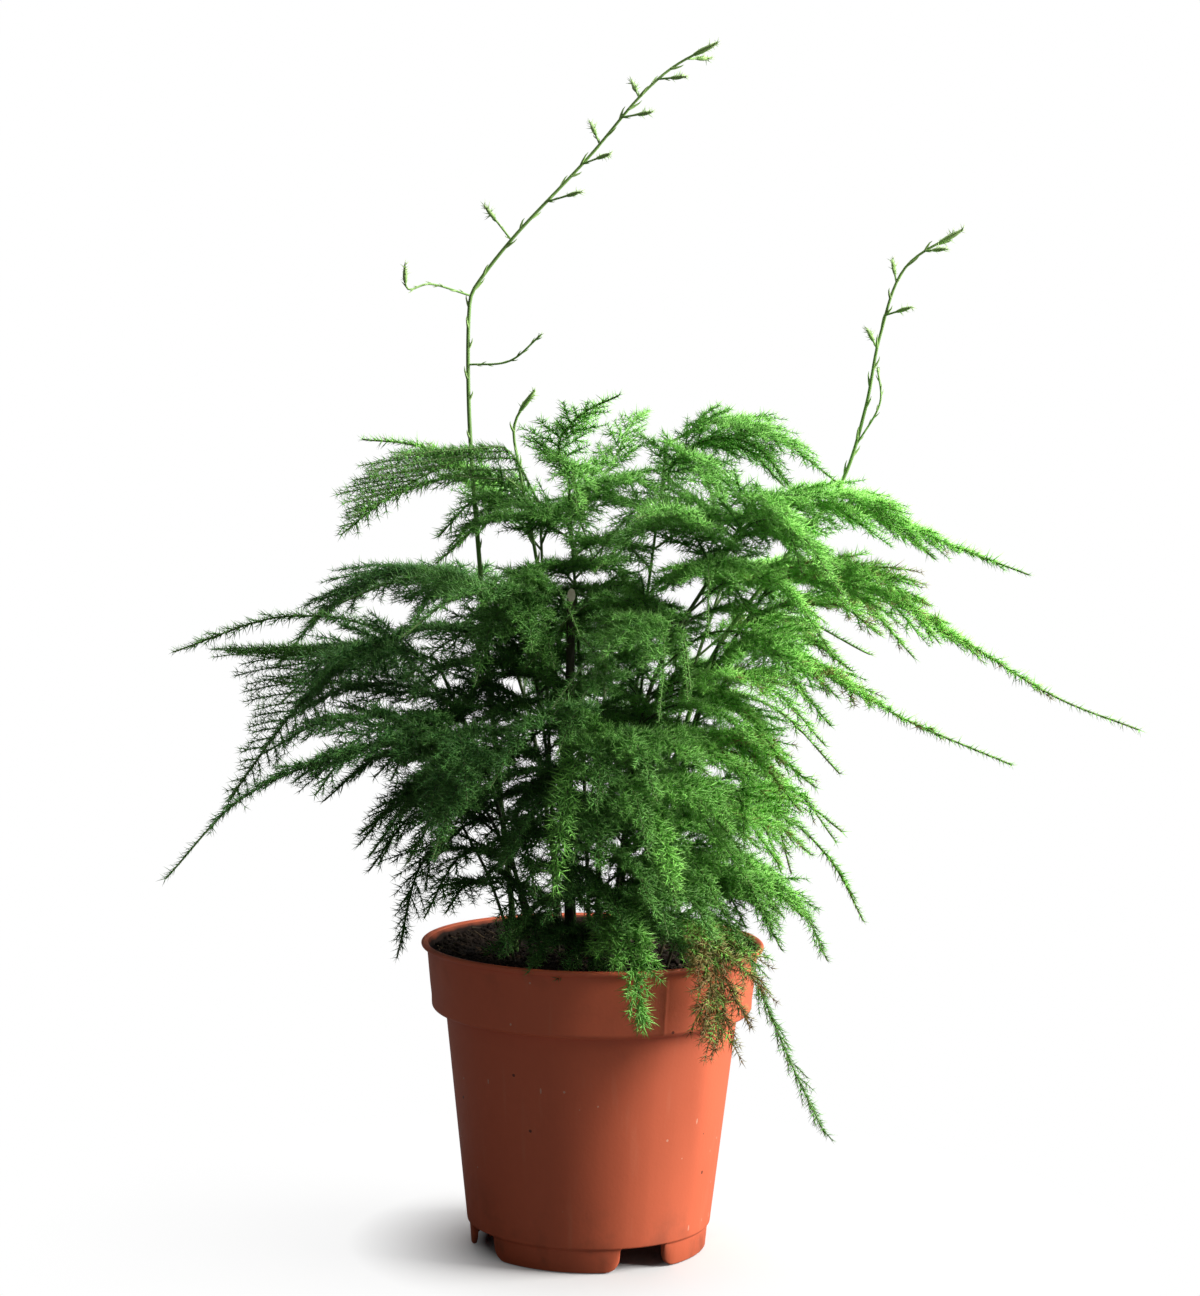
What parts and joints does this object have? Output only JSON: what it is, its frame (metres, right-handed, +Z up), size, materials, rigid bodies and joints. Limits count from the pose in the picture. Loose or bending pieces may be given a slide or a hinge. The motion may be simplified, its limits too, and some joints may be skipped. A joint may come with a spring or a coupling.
{
  "type": "potted fern",
  "caption": "Feathery asparagus fern with wiry stalks, flat needle fronds and two long bare shoots, in a tapered terracotta coloured plastic nursery pot filled with dark soil.",
  "frame": {"origin": "centre of the bounding box on the ground the pot stands on; the pot's axis lies a little left of and in front of it", "axes": "+Z up, the front of the pot towards -Y, the long drooping fronds towards +X and -X"},
  "size_m": [0.3308, 0.2372, 0.4184],
  "materials": {
    "terracotta_plastic": "orange terracotta polypropylene, satin matte, faint scuffs and specks of soil",
    "potting_soil": null,
    "frond_green": null,
    "green_stalk": null,
    "young_shoot": null,
    "dark_stalk": "dark dry cut stalk with a pale cut end"
  },
  "bodies": {
    "root": {"pot": "terracotta_plastic", "stalk_right_top": "green_stalk", "stalk_top_right": "green_stalk", "stalk_right_mid": "green_stalk", "stalk_right_low": "green_stalk", "stalk_right_skirt": "green_stalk", "stalk_rim_right": "green_stalk", "stalk_front_rim": "green_stalk", "stalk_front": "green_stalk", "stalk_left": "green_stalk", "stalk_left_low": "green_stalk", "stalk_left_skirt": "green_stalk", "stalk_top_left": "green_stalk", "stalk_upper_left": "green_stalk", "stalk_top_centre": "green_stalk", "stalk_centre": "green_stalk", "stalk_back_left": "green_stalk", "stalk_back_right": "green_stalk", "stalk_back": "green_stalk", "shoot_tall": "young_shoot", "shoot_right": "young_shoot", "shoot_bare": "young_shoot", "stub_cut": "dark_stalk", "soil": "potting_soil", "frond_right_upper": "frond_green", "frond_top_right": "frond_green", "frond_right_mid": "frond_green", "frond_right_thin": "frond_green", "frond_right_low": "frond_green", "frond_right_drop": "frond_green", "frond_right_skirt": "frond_green", "frond_left_long": "frond_green", "frond_left_mid": "frond_green", "frond_left_low": "frond_green", "frond_left_skirt": "frond_green", "frond_left_drop": "frond_green", "frond_top_left": "frond_green", "frond_top_left_back": "frond_green", "frond_upper_left": "frond_green", "frond_upper_front": "frond_green", "frond_top_centre": "frond_green", "frond_top_back": "frond_green", "frond_centre_front": "frond_green", "frond_centre_right": "frond_green", "frond_centre_left": "frond_green", "frond_centre_back": "frond_green", "frond_mid_right": "frond_green", "frond_upper_mid": "frond_green", "frond_front_upper": "frond_green", "frond_front_lower": "frond_green", "frond_back_left": "frond_green", "frond_back_right": "frond_green", "frond_back_high": "frond_green", "frond_back_skirt_left": "frond_green", "frond_back_skirt_right": "frond_green", "frond_back_low": "frond_green", "frond_rim_front": "frond_green", "frond_rim_right": "frond_green", "frond_rim_side": "frond_green", "frond_trail": "frond_green"}
  },
  "joints": []
}
